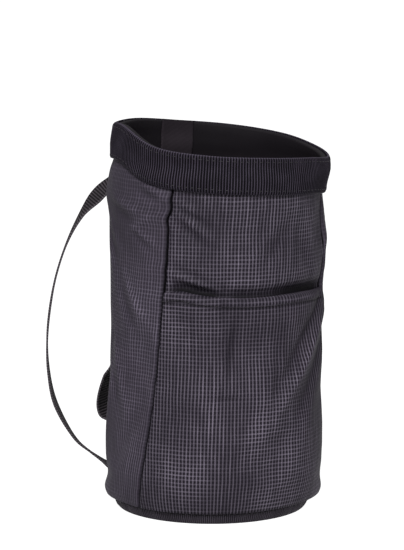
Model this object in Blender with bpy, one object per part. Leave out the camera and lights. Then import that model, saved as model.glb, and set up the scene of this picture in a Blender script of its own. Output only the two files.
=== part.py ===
"""Climbing chalk bag: a soft round sack with webbing rim, front pocket, lining, strap and brush loop.

Metres, +Z up. The origin is the centre of the base's underside, and the pocket faces -Y.
A bearing is in degrees round the bag, from -Y towards +X, so the pocket is at 0 and the back seam at 180.
The sack is one surface, wall_radius, that every layer follows at its own depth.
"""

from math import atan2, cos, degrees, exp, radians, sin

import bmesh
import bpy
from mathutils import Quaternion, Vector

# The sack
BAG_RADIUS = 0.0570
BAG_HEIGHT = 0.1950
MOUTH_LEAN = 0.0050
LEAN_BEARING = 66.0
SHELL_WALL = 0.0012
LINING_WALL = 0.0010
LINING_EASE = 0.0006
GAP = 0.0003

# The seams between the front panel and the back panel
SEAM_GAP = 0.0004
SEAM_ROLL = 0.0019
SEAM_ROLL_WIDTH = 0.0050
SEAM_ROLL_FADE = 0.0060

# The webbing round the rim
BAND_WIDTH = 0.0190
BAND_WALL = 0.0015
BAND_EASE = 0.0006

# The pocket
POCKET_TOP = 0.1200
POCKET_WALL = 0.0011
POCKET_HEM = 0.0050
POCKET_HEM_WALL = 0.0005
POCKET_GAPE = 0.0022

# The base, inside its rolled binding
BASE_WALL = 0.0015
BINDING_HEIGHT = 0.0060
BINDING_WALL = 0.0030
BINDING_TUCK = 0.0022

# The lining's rounded corner above the base
CORNER_DRAW = 0.0036
FLOOR_DRAW = 0.0030

# The strap and the brush loop, sewn on one line of the back panel
BACK_LINE = -138.0
TAB_EASE = 0.0006
STRAP_WIDTH = 0.0200
STRAP_WALL = 0.0011
STRAP_REACH = 0.0386
STRAP_SWING = 27.5
STRAP_TOP_TAB = 0.0055
STRAP_FOOT_TAB = 0.0055
LOOP_WIDTH = 0.0200
LOOP_WALL = 0.0012
LOOP_REACH = 0.0064
LOOP_TOP = 0.0730
LOOP_FOOT = 0.0405
LOOP_TAB = 0.0060

# The tape over the lining's back seam
TAPE_BEARING = 183.0
TAPE_WIDTH = 0.0210
TAPE_WALL = 0.0007

# How finely the walls are faceted
BACK_COLUMNS = 32
FRONT_COLUMNS = 18
RING_COLUMNS = 46
TAPE_COLUMNS = 4
WEBBING_POINTS = 5
STRAP_STATIONS = 44
LOOP_STATIONS = 16
TAB_STATIONS = 3

# The shell's outside by height: share of BAG_HEIGHT, share of BAG_RADIUS, share of MOUTH_LEAN
GIRTH = (
    # height, radius, lean
    (0.000, 0.915, 0.00),
    (0.030, 0.949, 0.00),
    (0.060, 0.976, 0.02),
    (0.095, 0.994, 0.06),
    (0.130, 1.003, 0.10),
    (0.215, 1.006, 0.17),
    (0.310, 1.001, 0.30),
    (0.410, 0.998, 0.40),
    (0.490, 0.990, 0.41),
    (0.565, 0.997, 0.45),
    (0.640, 0.997, 0.51),
    (0.720, 0.999, 0.58),
    (0.785, 0.999, 0.62),
    (0.850, 1.010, 0.78),
    (0.885, 1.006, 0.85),
    (0.925, 1.011, 0.90),
    (0.960, 0.984, 0.96),
    (1.000, 0.984, 1.00),
    (1.060, 0.950, 1.00),
)

# The rim by bearing, every 30 degrees from the back seam: degrees, share of BAG_HEIGHT
RIM = (
    # bearing, height
    (-180.0, 1.031),
    (-150.0, 1.046),
    (-120.0, 1.049),
    (-90.0, 1.054),
    (-60.0, 1.008),
    (-30.0, 0.991),
    (0.0, 0.983),
    (30.0, 0.974),
    (60.0, 0.962),
    (90.0, 0.973),
    (120.0, 0.998),
    (150.0, 1.017),
    (180.0, 1.031),
)

# Bulges and dents of the soft wall. Bearings and spreads are in degrees, heights and rises shares of
# BAG_HEIGHT, and depths shares of BAG_RADIUS, outwards if positive.
FOLDS = (
    # bearing, spread, height, rise, depth
    (-112.0, 26.0, 0.875, 0.050, 0.044),
    (66.0, 30.0, 0.865, 0.075, -0.058),
    (52.0, 40.0, 0.700, 0.095, 0.010),
    (30.0, 46.0, 0.615, 0.040, -0.024),
    (38.0, 40.0, 0.530, 0.060, 0.006),
    (-114.0, 42.0, 0.580, 0.190, -0.022),
    (66.0, 26.0, 0.350, 0.080, -0.026),
    (8.0, 40.0, 0.300, 0.170, 0.016),
    (-30.0, 14.0, 0.820, 0.070, -0.020),
    (-62.0, 16.0, 0.860, 0.050, 0.018),
    (-8.0, 12.0, 0.440, 0.110, -0.018),
    (130.0, 26.0, 0.420, 0.160, -0.020),
    (-172.0, 24.0, 0.640, 0.150, 0.018),
    (0.0, 62.0, 0.000, 0.070, -0.024),
)

# The two side seams by height, which slant out towards the base: share of BAG_HEIGHT, degrees from the
# pocket's middle
SEAM = (
    # height, bearing
    (0.000, 69.0),
    (0.100, 65.2),
    (0.220, 60.7),
    (0.360, 57.4),
    (0.600, 53.3),
    (0.760, 51.1),
    (0.840, 50.7),
    (0.900, 49.4),
    (1.060, 47.5),
)

# The pocket's top edge by bearing, and the shell's row at its level: degrees, share of POCKET_TOP
POCKET_EDGE = (
    # bearing, height
    (-180.0, 1.004),
    (-100.0, 1.012),
    (-54.0, 1.014),
    (-43.0, 1.027),
    (-34.0, 1.015),
    (-16.0, 1.000),
    (0.0, 0.998),
    (22.0, 1.002),
    (54.0, 0.993),
    (100.0, 0.996),
    (180.0, 1.004),
)

# Rows of the shell, as shares of each stretch of its height: to the pocket's hem, to the rim band, behind it
POCKET_ROWS = (0.0, 0.04, 0.12, 0.24, 0.38, 0.53, 0.68, 0.82, 0.93, 1.0)
NECK_ROWS = (0.16, 0.36, 0.58, 0.78, 0.90, 1.0)
RIM_ROWS = (0.34, 0.68, 1.0)

# The pocket's mouth stands off the front panel: share of its half width, share of POCKET_GAPE
MOUTH_GAPE = (
    # across, gape
    (-1.00, 0.00),
    (-0.82, 0.55),
    (-0.62, 1.00),
    (-0.35, 0.60),
    (0.00, 0.35),
    (0.45, 0.75),
    (0.80, 0.60),
    (1.00, 0.00),
)

# The strap between its sewn ends, evenly along it: share of STRAP_REACH, share of the height between the
# ends, share of STRAP_SWING, twist in degrees
STRAP_ROUTE = (
    # reach, height, swing, twist
    (0.000, 1.000, 0.00, 0.0),
    (0.110, 0.956, 0.35, 16.0),
    (0.315, 0.905, 0.80, 18.0),
    (0.534, 0.842, 1.00, 2.0),
    (0.717, 0.758, 1.00, -2.6),
    (0.863, 0.653, 1.00, -2.2),
    (0.947, 0.546, 1.00, -0.6),
    (0.983, 0.440, 1.00, -0.3),
    (0.960, 0.335, 1.00, -1.1),
    (0.859, 0.229, 1.00, -1.7),
    (0.607, 0.122, 1.00, 3.4),
    (0.372, 0.068, 0.90, 10.3),
    (0.110, 0.021, 0.40, 12.0),
    (0.000, 0.000, 0.00, 0.0),
)

# The drooping brush loop between its sewn ends, evenly along it: share of LOOP_REACH, share of its height
LOOP_ROUTE = (
    # reach, height
    (0.00, 1.000),
    (0.30, 0.870),
    (0.62, 0.700),
    (0.88, 0.510),
    (1.00, 0.345),
    (0.95, 0.220),
    (0.74, 0.120),
    (0.38, 0.068),
    (0.10, 0.040),
    (0.00, 0.000),
)

# The binding's profile: share of BINDING_HEIGHT, share of BINDING_WALL inside the shell's outside, and share
# of BINDING_TUCK, by which it is drawn in under the bag
BINDING_PROFILE = (
    # height, depth, tuck
    (1.00, 0.50, 0.00),
    (0.76, 0.42, 0.18),
    (0.50, 0.42, 0.42),
    (0.24, 0.46, 0.72),
    (0.06, 0.56, 1.00),
)


def clear_scene():
    for thing in list(bpy.data.objects):
        bpy.data.objects.remove(thing)


def stand():
    """The empty at the bag's origin that carries every piece."""
    bpy.context.scene.collection.objects.link(bpy.data.objects.new("chalk_bag", None))


def direction(bearing):
    """The level unit vector that points at a bearing."""
    return Vector((sin(radians(bearing)), -cos(radians(bearing)), 0.0))


def along(table, at, column=1):
    """A smooth curve through one column of a table, read at a value of the first column."""
    rows = [(row[0], row[column]) for row in table]
    last = len(rows) - 1
    at = min(max(at, rows[0][0]), rows[last][0])
    k = next(i for i in range(last) if at <= rows[i + 1][0])
    slopes = []
    for i in (k, k + 1):
        low, high = max(i - 1, 0), min(i + 1, last)
        slopes.append((rows[high][1] - rows[low][1]) / (rows[high][0] - rows[low][0]))
    span = rows[k + 1][0] - rows[k][0]
    t = (at - rows[k][0]) / span
    rise = rows[k + 1][1] - rows[k][1]
    leave, arrive = slopes[0] * span, slopes[1] * span
    bend, twist = 3.0 * rise - 2.0 * leave - arrive, leave + arrive - 2.0 * rise
    return rows[k][1] + t * (leave + t * (bend + t * twist))


def around(bearing):
    """A bearing brought into -180 to 180."""
    return (bearing + 180.0) % 360.0 - 180.0


def rim_height(bearing):
    """The rim's height, whose curve runs on through the back seam without a kink."""
    return BAG_HEIGHT * along(RIM, around(bearing))


def wall_radius(bearing, height):
    """The shell's outside, from the bag's own axis at that height."""
    share = height / BAG_HEIGHT
    radius = along(GIRTH, share)
    for fold_bearing, spread, fold_height, rise, depth in FOLDS:
        turn = around(bearing - fold_bearing) / spread
        lift = (share - fold_height) / rise
        radius += depth * exp(-turn * turn - lift * lift)
    return BAG_RADIUS * radius


def base_radius():
    """The round base seam's radius, where the wall meets the binding."""
    return BAG_RADIUS * along(GIRTH, BINDING_HEIGHT / BAG_HEIGHT)


def place(bearing, radius, height):
    """A point at a radius from the bag's axis, which leans a little towards LEAN_BEARING."""
    axis = direction(LEAN_BEARING) * (MOUTH_LEAN * along(GIRTH, height / BAG_HEIGHT, 2))
    return axis + direction(bearing) * radius + Vector((0.0, 0.0, height))


def pocket_edge(bearing):
    """The height of the pocket's top edge at a bearing."""
    return POCKET_TOP * along(POCKET_EDGE, around(bearing))


def shell_rows(bearing):
    """The heights of the shell's rows at a bearing: up the pocket, up the neck and behind the rim band."""
    foot = BINDING_HEIGHT + GAP
    pocket = pocket_edge(bearing)
    hem = pocket - POCKET_HEM
    band = rim_height(bearing) - BAND_WIDTH
    top = rim_height(bearing) - LINING_WALL - GAP
    rows = [foot + (hem - foot) * share for share in POCKET_ROWS] + [pocket]
    rows += [pocket + (band - pocket) * share for share in NECK_ROWS]
    return rows + [band + (top - band) * share for share in RIM_ROWS]


def seam_bearing(height):
    """How far round from the pocket's middle the seams lie, at a height."""
    return along(SEAM, height / BAG_HEIGHT)


def seam_on_row(row, side):
    """The bearing where one row of the shell meets the left (-1) or the right (1) seam."""
    bearing = 0.0
    for _ in range(6):
        bearing = side * seam_bearing(shell_rows(bearing)[row])
    return bearing


def degrees_of(length):
    """The bearing that a length covers on the bag's wall."""
    return degrees(length / BAG_RADIUS)


def panel_edges(row):
    """The bearings where the front panel and the pocket end on one row, just short of the seams."""
    return seam_on_row(row, -1) + degrees_of(SEAM_GAP), seam_on_row(row, 1) - degrees_of(SEAM_GAP)


def fade(value, low, high):
    """Zero at low and one at high, eased at both ends."""
    t = min(max((value - low) / (high - low), 0.0), 1.0)
    return t * t * (3.0 - 2.0 * t)


def loft(name, origin, sections, closed=False, poles=()):
    """One closed solid through sections of points, placed at its own origin under the bag's empty.

    A section is a loop of points, outer side first and then back along the inner side. With poles it is
    open, and its first and last points are fanned to the two poles. Loose ends are capped by strips that
    join each outer point to the inner point beside it.
    """
    mesh = bmesh.new()
    rings = [[mesh.verts.new(point - origin) for point in section] for section in sections]
    count = len(rings[0])
    pairs = list(zip(rings, rings[1:] + rings[:1])) if closed else list(zip(rings, rings[1:]))
    for ring, after in pairs:
        for k in range(count - 1 if poles else count):
            up = (k + 1) % count
            mesh.faces.new((ring[k], after[k], after[up], ring[up]))
    if poles:
        first, last = (mesh.verts.new(point - origin) for point in poles)
        for ring, after in pairs:
            mesh.faces.new((first, after[0], ring[0]))
            mesh.faces.new((last, ring[-1], after[-1]))
    elif not closed:
        for ring in (rings[0], rings[-1]):
            for k in range(count // 2 - 1):
                mesh.faces.new((ring[k], ring[k + 1], ring[count - 2 - k], ring[count - 1 - k]))
    bmesh.ops.triangulate(mesh, faces=mesh.faces[:])
    bmesh.ops.recalc_face_normals(mesh, faces=mesh.faces[:])
    data = bpy.data.meshes.new(name)
    mesh.to_mesh(data)
    mesh.free()
    piece = bpy.data.objects.new(name, data)
    bpy.context.scene.collection.objects.link(piece)
    piece.location = origin
    piece.parent = bpy.data.objects["chalk_bag"]
    return piece


def finish(piece, colour, roughness):
    """Gives a piece its material and smooth shading with crisp edges."""
    material = bpy.data.materials.new(piece.name)
    material.use_nodes = True
    surface = material.node_tree.nodes["Principled BSDF"]
    surface.inputs["Base Color"].default_value = (*colour, 1.0)
    surface.inputs["Roughness"].default_value = roughness
    surface.inputs["Metallic"].default_value = 0.0
    piece.data.materials.append(material)
    piece.data.shade_smooth()
    piece.data.set_sharp_from_angle(angle=radians(40.0))
    return piece


def ring_bearings(count=RING_COLUMNS):
    return [360.0 * k / count - 180.0 for k in range(count)]


def shell_origin():
    """The middle of the base seam, where the walls begin."""
    return place(0.0, 0.0, BINDING_HEIGHT + GAP)


def front_panel():
    """The front of the shell, which carries on up behind the pocket."""
    edges = [panel_edges(row) for row in range(len(shell_rows(0.0)))]
    sections = []
    for i in range(FRONT_COLUMNS + 1):
        outer, inner = [], []
        for row, (left, right) in enumerate(edges):
            bearing = left + (right - left) * i / FRONT_COLUMNS
            height = shell_rows(bearing)[row]
            radius = wall_radius(bearing, height)
            outer.append(place(bearing, radius, height))
            inner.append(place(bearing, radius - SHELL_WALL, height))
        sections.append(outer + inner[::-1])
    return finish(loft("front_panel", shell_origin(), sections), (0.052, 0.046, 0.058), 0.62)


def back_columns():
    """Shares across the back panel, closer together beside its two seams for the rolled edges."""
    beside = (0.0, 0.010, 0.022, 0.038)
    middle = [beside[-1] + (1.0 - 2.0 * beside[-1]) * k / BACK_COLUMNS for k in range(BACK_COLUMNS + 1)]
    return list(beside[:-1]) + middle + [1.0 - share for share in reversed(beside[:-1])]


def back_panel():
    """The rest of the shell, from seam to seam round the back, with its edges rolled over the front's."""
    edges = [(seam_on_row(row, 1), seam_on_row(row, -1) + 360.0) for row in range(len(shell_rows(180.0)))]
    sections = []
    for share in back_columns():
        outer, inner = [], []
        for row, (right, left) in enumerate(edges):
            bearing = right + (left - right) * share
            height = shell_rows(bearing)[row]
            radius = wall_radius(bearing, height)
            beside = radians((left - right) * min(share, 1.0 - share)) * BAG_RADIUS
            band_foot = rim_height(bearing) - BAND_WIDTH
            roll = SEAM_ROLL * exp(-((beside / SEAM_ROLL_WIDTH) ** 2))
            roll *= 1.0 - fade(height, band_foot - SEAM_ROLL_FADE, band_foot - GAP)
            outer.append(place(bearing, radius + roll, height))
            inner.append(place(bearing, radius - SHELL_WALL, height))
        sections.append(outer + inner[::-1])
    return finish(loft("back_panel", shell_origin(), sections), (0.056, 0.049, 0.062), 0.62)


def pocket():
    """The patch pocket over the lower part of the front panel, hemmed and a little open at its top."""
    hem = len(POCKET_ROWS) - 1
    edges = [panel_edges(row) for row in range(hem + 2)]
    sections = []
    for i in range(FRONT_COLUMNS + 1):
        share = i / FRONT_COLUMNS
        outer, inner = [], []
        for row, (left, right) in enumerate(edges):
            bearing = left + (right - left) * share
            height = shell_rows(bearing)[row]
            gape = POCKET_GAPE * along(MOUTH_GAPE, 2.0 * share - 1.0)
            gape *= fade(height, POCKET_TOP * 0.80, POCKET_TOP)
            radius = wall_radius(bearing, height) + GAP + gape
            if row == hem:
                outer.append(place(bearing, radius + POCKET_WALL, height - GAP))
                inner.append(place(bearing, radius, height - GAP))
            wall = POCKET_WALL + (POCKET_HEM_WALL if row >= hem else 0.0)
            outer.append(place(bearing, radius + wall, height))
            inner.append(place(bearing, radius, height))
        sections.append(outer + inner[::-1])
    return finish(loft("pocket", shell_origin(), sections), (0.050, 0.044, 0.056), 0.62)


def rim_band():
    """The webbing sewn round the outside of the mouth."""
    sections = []
    for bearing in ring_bearings():
        rim = rim_height(bearing)
        shell = shell_rows(bearing)
        heights = [rim - BAND_WIDTH] + shell[-len(RIM_ROWS):-1] + [rim]
        radii = [wall_radius(bearing, height) + BAND_EASE for height in heights]
        outer = [place(bearing, radius + BAND_WALL, height) for radius, height in zip(radii, heights)]
        inner = [place(bearing, radius, height) for radius, height in zip(radii, heights)]
        sections.append(outer + inner[::-1])
    origin = place(0.0, 0.0, BAG_HEIGHT - BAND_WIDTH)
    return finish(loft("rim_band", origin, sections, closed=True), (0.018, 0.016, 0.020), 0.75)


def lining_radius(bearing, height):
    """The lining's outside, drawn in to a rounded corner above the base."""
    corner = 1.0 - fade(height, 0.0, 2.0 * BINDING_HEIGHT)
    return wall_radius(bearing, height) - SHELL_WALL - LINING_EASE - CORNER_DRAW * corner


def lining():
    """The inner sack: a floor, a wall and a lip that covers the shell's top edge."""
    floor = BASE_WALL + GAP
    sections = []
    for bearing in ring_bearings():
        rim = rim_height(bearing)
        heights = [floor, floor + BINDING_HEIGHT * 0.35] + shell_rows(bearing)[:-1]
        radii = [lining_radius(bearing, height) for height in heights]
        radii[0] -= FLOOR_DRAW
        outer = [place(bearing, radius, height) for radius, height in zip(radii, heights)]
        inner = [place(bearing, radius - LINING_WALL, height) for radius, height in zip(radii, heights)]
        inner[0] += Vector((0.0, 0.0, LINING_WALL))
        lip = rim - LINING_WALL
        lip_inner = lining_radius(bearing, lip)
        lip_outer = wall_radius(bearing, rim)
        outer += [place(bearing, lip_inner, lip), place(bearing, lip_outer, lip)]
        outer += [place(bearing, lip_outer, rim), place(bearing, lip_inner - LINING_WALL, rim)]
        sections.append(outer + inner[::-1])
    poles = (place(0.0, 0.0, floor), place(0.0, 0.0, floor + LINING_WALL))
    return finish(loft("lining", poles[0], sections, closed=True, poles=poles), (0.011, 0.010, 0.012), 0.55)


def back_tape():
    """The flat tape over the lining's back seam, up to the rim."""
    sections = []
    half = degrees_of(TAPE_WIDTH) / 2.0
    for i in range(TAPE_COLUMNS + 1):
        bearing = TAPE_BEARING + half * (2.0 * i / TAPE_COLUMNS - 1.0)
        heights = shell_rows(bearing)[2:-1] + [rim_height(bearing)]
        radii = [lining_radius(bearing, height) - LINING_WALL - GAP for height in heights]
        outer = [place(bearing, radius, height) for radius, height in zip(radii, heights)]
        inner = [place(bearing, radius - TAPE_WALL, height) for radius, height in zip(radii, heights)]
        sections.append(outer + inner[::-1])
    return finish(loft("back_tape", shell_origin(), sections), (0.019, 0.016, 0.020), 0.80)


def base_binding():
    """The rolled seam binding between the shell and the base."""
    sections = []
    outside = base_radius()
    for bearing in ring_bearings():
        outer, inner = [], []
        for share, depth, tuck in BINDING_PROFILE:
            height, radius = BINDING_HEIGHT * share, outside - BINDING_TUCK * tuck
            outer.append(place(bearing, radius - BINDING_WALL * depth, height))
            inner.append(place(bearing, radius - BINDING_WALL, height))
        sections.append(outer + inner[::-1])
    return finish(loft("base_binding", Vector(), sections, closed=True), (0.025, 0.021, 0.027), 0.70)


def base_disc():
    """The flat round base that the bag stands on."""
    sections = []
    reach = base_radius() - BINDING_WALL - BINDING_TUCK - GAP
    for bearing in ring_bearings():
        sections.append([place(bearing, reach, height) for height in (0.0, BASE_WALL)])
    poles = (place(0.0, 0.0, 0.0), place(0.0, 0.0, BASE_WALL))
    disc = loft("base_disc", Vector(), sections, closed=True, poles=poles)
    return finish(disc, (0.030, 0.025, 0.030), 0.70)


def back_point(height):
    """A point of the back line, where webbing is sewn."""
    return place(BACK_LINE, wall_radius(BACK_LINE, height) + TAB_EASE, height)


def evenly(table, share):
    """The columns of a table whose rows are evenly spaced, read smoothly at a share of the way down it."""
    last = len(table) - 1
    at = last * min(max(share, 0.0), 1.0)
    i = min(int(at), last - 1)
    t = at - i
    rows = [table[min(max(i + step, 0), last)] for step in (-1, 0, 1, 2)]
    return [
        0.5 * (2 * b + t * (c - a + t * (2 * a - 5 * b + 4 * c - d + t * (3 * b - a - 3 * c + d))))
        for a, b, c, d in zip(*rows)
    ]


def against_wall(point, hug):
    """The point drawn in to the shell by hug, 0 to 1, and in any case kept outside it."""
    spot = point - place(0.0, 0.0, point.z)
    bearing = degrees(atan2(spot.x, -spot.y))
    least = wall_radius(bearing, point.z) + TAB_EASE
    radius = spot.length + (least - spot.length) * hug
    return place(bearing, max(radius, least), point.z)


def webbing(name, stations, width, wall):
    """A flat webbing through stations of (point, side, hug), where side points across the webbing.

    Its origin is its first station, the end that is sewn highest.
    """
    points = [station[0] for station in stations]
    sections = []
    for k, (point, side, hug) in enumerate(stations):
        forward = (points[min(k + 1, len(points) - 1)] - points[max(k - 1, 0)]).normalized()
        across = (side - forward * side.dot(forward)).normalized()
        out = forward.cross(across)
        spread = [point + across * (width * (j / (WEBBING_POINTS - 1) - 0.5)) for j in range(WEBBING_POINTS)]
        inner = [against_wall(spot, hug) for spot in spread]
        sections.append([spot + out * wall for spot in inner] + inner[::-1])
    return loft(name, points[0], sections)


def tab(start, end, ends):
    """The stations of a webbing's sewn end, from one height to another, with the ends that are asked for."""
    side = direction(BACK_LINE + 90.0)
    return [(back_point(start + (end - start) * k / TAB_STATIONS), side, 1.0) for k in ends]


def strap():
    """The carrying strap, sewn under the rim band and above the base, hanging out in a long loop."""
    high = rim_height(BACK_LINE) - BAND_WIDTH - 3.0 * GAP
    low = BINDING_HEIGHT + GAP
    leave, join = high - STRAP_TOP_TAB, low + STRAP_FOOT_TAB
    top, foot = back_point(leave), back_point(join)
    stations = tab(high, leave, range(TAB_STATIONS))
    for k in range(STRAP_STATIONS):
        share = k / (STRAP_STATIONS - 1)
        reach, height, swing, twist = evenly(STRAP_ROUTE, share)
        ahead = evenly(STRAP_ROUTE, share + 0.5 / STRAP_STATIONS)
        out = direction(BACK_LINE + STRAP_SWING * swing)
        point = foot.lerp(top, height) + out * (STRAP_REACH * reach)
        forward = out * ((ahead[0] - reach) * STRAP_REACH)
        forward.z -= (height - ahead[1]) * (leave - join)
        side = direction(BACK_LINE + 90.0 + STRAP_SWING * swing)
        side = Quaternion(forward.normalized(), -radians(twist)) @ side
        stations.append((point, side, 1.0 - fade(reach, 0.0, 0.15)))
    stations += tab(join, low, range(1, TAB_STATIONS + 1))
    return finish(webbing("strap", stations, STRAP_WIDTH, STRAP_WALL), (0.020, 0.017, 0.021), 0.72)


def brush_loop():
    """The short webbing loop on the back that holds a brush, drooping from its upper end."""
    side = direction(BACK_LINE + 90.0)
    top, foot = back_point(LOOP_TOP), back_point(LOOP_FOOT)
    out = direction(BACK_LINE)
    stations = tab(LOOP_TOP + LOOP_TAB, LOOP_TOP, range(TAB_STATIONS))
    for k in range(LOOP_STATIONS):
        reach, height = evenly(LOOP_ROUTE, k / (LOOP_STATIONS - 1))
        point = foot.lerp(top, height) + out * (LOOP_REACH * reach)
        stations.append((point, side, 1.0 - fade(reach, 0.0, 0.5)))
    stations += tab(LOOP_FOOT, LOOP_FOOT - LOOP_TAB, range(1, TAB_STATIONS + 1))
    return finish(webbing("brush_loop", stations, LOOP_WIDTH, LOOP_WALL), (0.026, 0.020, 0.024), 0.75)


clear_scene()
stand()
front_panel()
back_panel()
pocket()
rim_band()
lining()
back_tape()
base_binding()
base_disc()
strap()
brush_loop()
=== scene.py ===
"""A climbing chalk bag on a white floor: ripstop sack, webbing rim, front pocket, lining, strap, brush loop.

Metres, +Z up. The origin is the centre of the base's underside. A bearing is in degrees round the bag from
-Y towards +X, so the pocket's middle is at 0 and the lining's back seam at 180. Every layer follows one soft
wall, the CAD's, at its own depth. A layer is a grid of points: rows go up the bag and columns round it.
"""

from math import cos, pi, radians, sin

import bpy
import numpy as np
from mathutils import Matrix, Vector


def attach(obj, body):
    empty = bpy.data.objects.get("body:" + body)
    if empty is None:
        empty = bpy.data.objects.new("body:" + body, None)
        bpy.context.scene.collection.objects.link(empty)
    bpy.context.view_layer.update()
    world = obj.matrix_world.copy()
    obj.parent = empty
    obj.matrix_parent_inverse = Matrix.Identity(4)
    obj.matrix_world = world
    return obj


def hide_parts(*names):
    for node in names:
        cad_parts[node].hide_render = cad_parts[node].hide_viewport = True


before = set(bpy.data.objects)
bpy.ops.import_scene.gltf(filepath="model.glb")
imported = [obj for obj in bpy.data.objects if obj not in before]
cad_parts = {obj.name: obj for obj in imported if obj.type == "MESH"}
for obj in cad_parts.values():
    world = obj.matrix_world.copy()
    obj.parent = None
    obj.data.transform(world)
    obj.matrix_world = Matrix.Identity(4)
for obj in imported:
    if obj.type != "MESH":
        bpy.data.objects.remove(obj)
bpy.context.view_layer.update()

# The camera, where the photographer stood
CAMERA_PLACE = (-0.58977, -1.32464, 0.348)
CAMERA_PITCH = 81.1936
CAMERA_TURN = -23.8002
CAMERA_LENS = 180.81

# The sack, as in the CAD
BAG_RADIUS = 0.0570
BAG_HEIGHT = 0.1950
MOUTH_LEAN = 0.0050
LEAN_BEARING = 66.0
SHELL_WALL = 0.0012
LINING_WALL = 0.0010
LINING_EASE = 0.0006
GAP = 0.0003
SEAM_GAP = 0.0004
SEAM_ROLL = 0.0012
SEAM_ROLL_WIDTH = 0.0050
SEAM_ROLL_FADE = 0.0060
BAND_WIDTH = 0.0190
BAND_WALL = 0.0015
BAND_EASE = 0.0006
POCKET_TOP = 0.1200
POCKET_WALL = 0.0011
POCKET_HEM = 0.0050
POCKET_HEM_WALL = 0.0005
POCKET_GAPE = 0.0022
BASE_WALL = 0.0015
BINDING_HEIGHT = 0.0060
BINDING_WALL = 0.0030
BINDING_TUCK = 0.0022
CORNER_DRAW = 0.0036
FLOOR_DRAW = 0.0030
BACK_LINE = -138.0
TAB_EASE = 0.0006
STRAP_WIDTH = 0.0200
STRAP_WALL = 0.0011
STRAP_REACH = 0.0386
STRAP_SWING = 27.5
STRAP_TAB = 0.0055
LOOP_WIDTH = 0.0200
LOOP_WALL = 0.0012
LOOP_REACH = 0.0064
LOOP_TOP = 0.0730
LOOP_FOOT = 0.0405
LOOP_TAB = 0.0060
TAPE_BEARING = 183.0
TAPE_WIDTH = 0.0210
TAPE_WALL = 0.0007
TAPE_COLUMNS = 32

# The wall by height: share of BAG_HEIGHT, share of BAG_RADIUS, share of MOUTH_LEAN
GIRTH = (
    (0, 0.915, 0), (0.03, 0.949, 0), (0.06, 0.976, 0.02), (0.095, 0.994, 0.06), (0.13, 1.003, 0.1),
    (0.215, 1.006, 0.17), (0.31, 1.001, 0.3), (0.41, 0.998, 0.4), (0.49, 0.99, 0.41),
    (0.565, 0.997, 0.45), (0.64, 0.997, 0.51), (0.72, 0.999, 0.58), (0.785, 0.999, 0.62),
    (0.85, 1.01, 0.78), (0.885, 1.006, 0.85), (0.925, 1.011, 0.9), (0.96, 0.984, 0.96), (1, 0.984, 1),
    (1.06, 0.95, 1),
)

# The rim by bearing: degrees, share of BAG_HEIGHT
RIM = (
    (-180, 1.031), (-150, 1.046), (-120, 1.049), (-90, 1.054), (-60, 1.008), (-30, 0.991), (0, 0.983),
    (30, 0.974), (60, 0.962), (90, 0.973), (120, 0.998), (150, 1.017), (180, 1.031),
)

# The CAD's bulges and dents: bearing and spread in degrees, height and rise as shares of BAG_HEIGHT, depth
# as a share of BAG_RADIUS
FOLDS = (
    (-112, 26, 0.875, 0.05, 0.044), (66, 30, 0.865, 0.075, -0.058), (52, 40, 0.7, 0.095, 0.01),
    (30, 46, 0.615, 0.04, -0.024), (38, 40, 0.53, 0.06, 0.006), (-114, 42, 0.58, 0.19, -0.022),
    (66, 26, 0.35, 0.08, -0.026), (8, 40, 0.3, 0.17, 0.016), (-30, 14, 0.82, 0.07, -0.02),
    (-62, 16, 0.86, 0.05, 0.018), (-8, 12, 0.44, 0.11, -0.018), (130, 26, 0.42, 0.16, -0.02),
    (-172, 24, 0.64, 0.15, 0.018), (0, 62, 0, 0.07, -0.024),
)

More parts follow.
